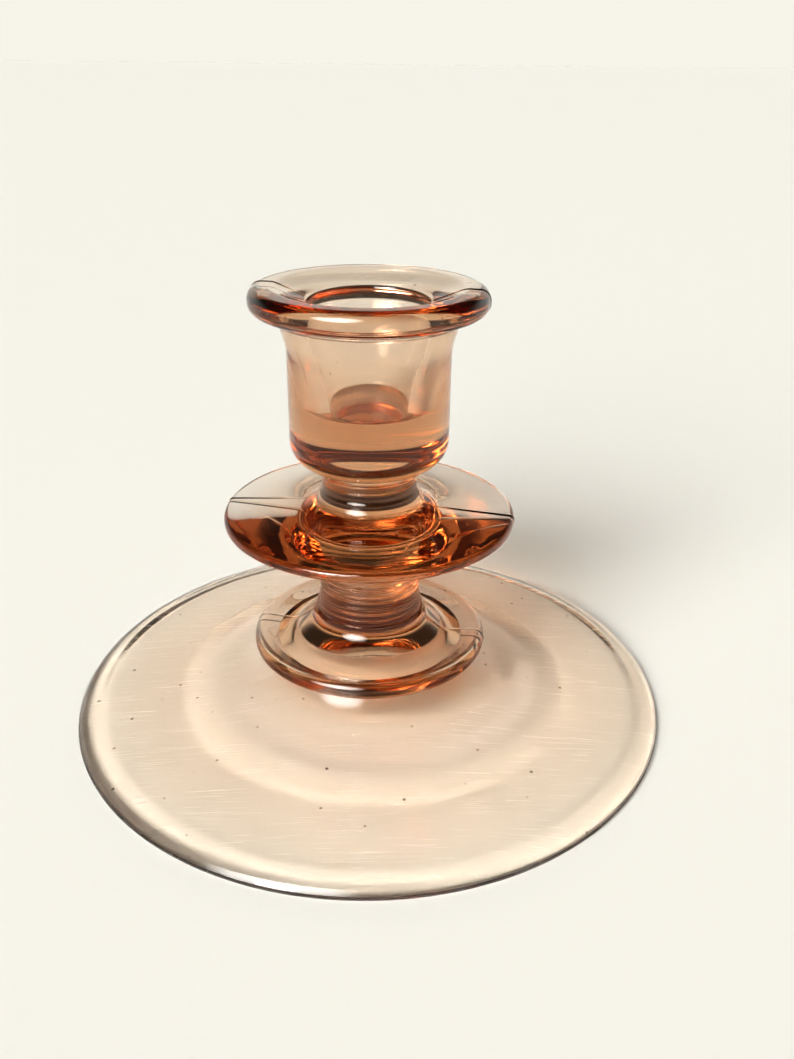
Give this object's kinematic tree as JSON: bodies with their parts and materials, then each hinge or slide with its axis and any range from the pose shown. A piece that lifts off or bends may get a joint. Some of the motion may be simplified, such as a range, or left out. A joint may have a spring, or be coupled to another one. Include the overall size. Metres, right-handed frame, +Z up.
{
  "type": "candlestick",
  "caption": "Low pressed-glass candlestick: wide thin foot, solid stem with two discs and a flanged candle cup.",
  "frame": {"origin": "centre of the foot, on the surface it stands on", "axes": "+Z up along the axis of the stem; the body is turned about Z, so +X and +Y are alike"},
  "size_m": [0.1198, 0.1198, 0.0852],
  "materials": {
    "glass": "fire-polished, pale amber"
  },
  "bodies": {
    "root": {"foot_plate": "glass", "foot_dome": "glass", "lower_disc": "glass", "lower_stem": "glass", "drip_disc": "glass", "upper_stem": "glass", "candle_cup": "glass", "cup_rim": "glass"}
  },
  "joints": []
}
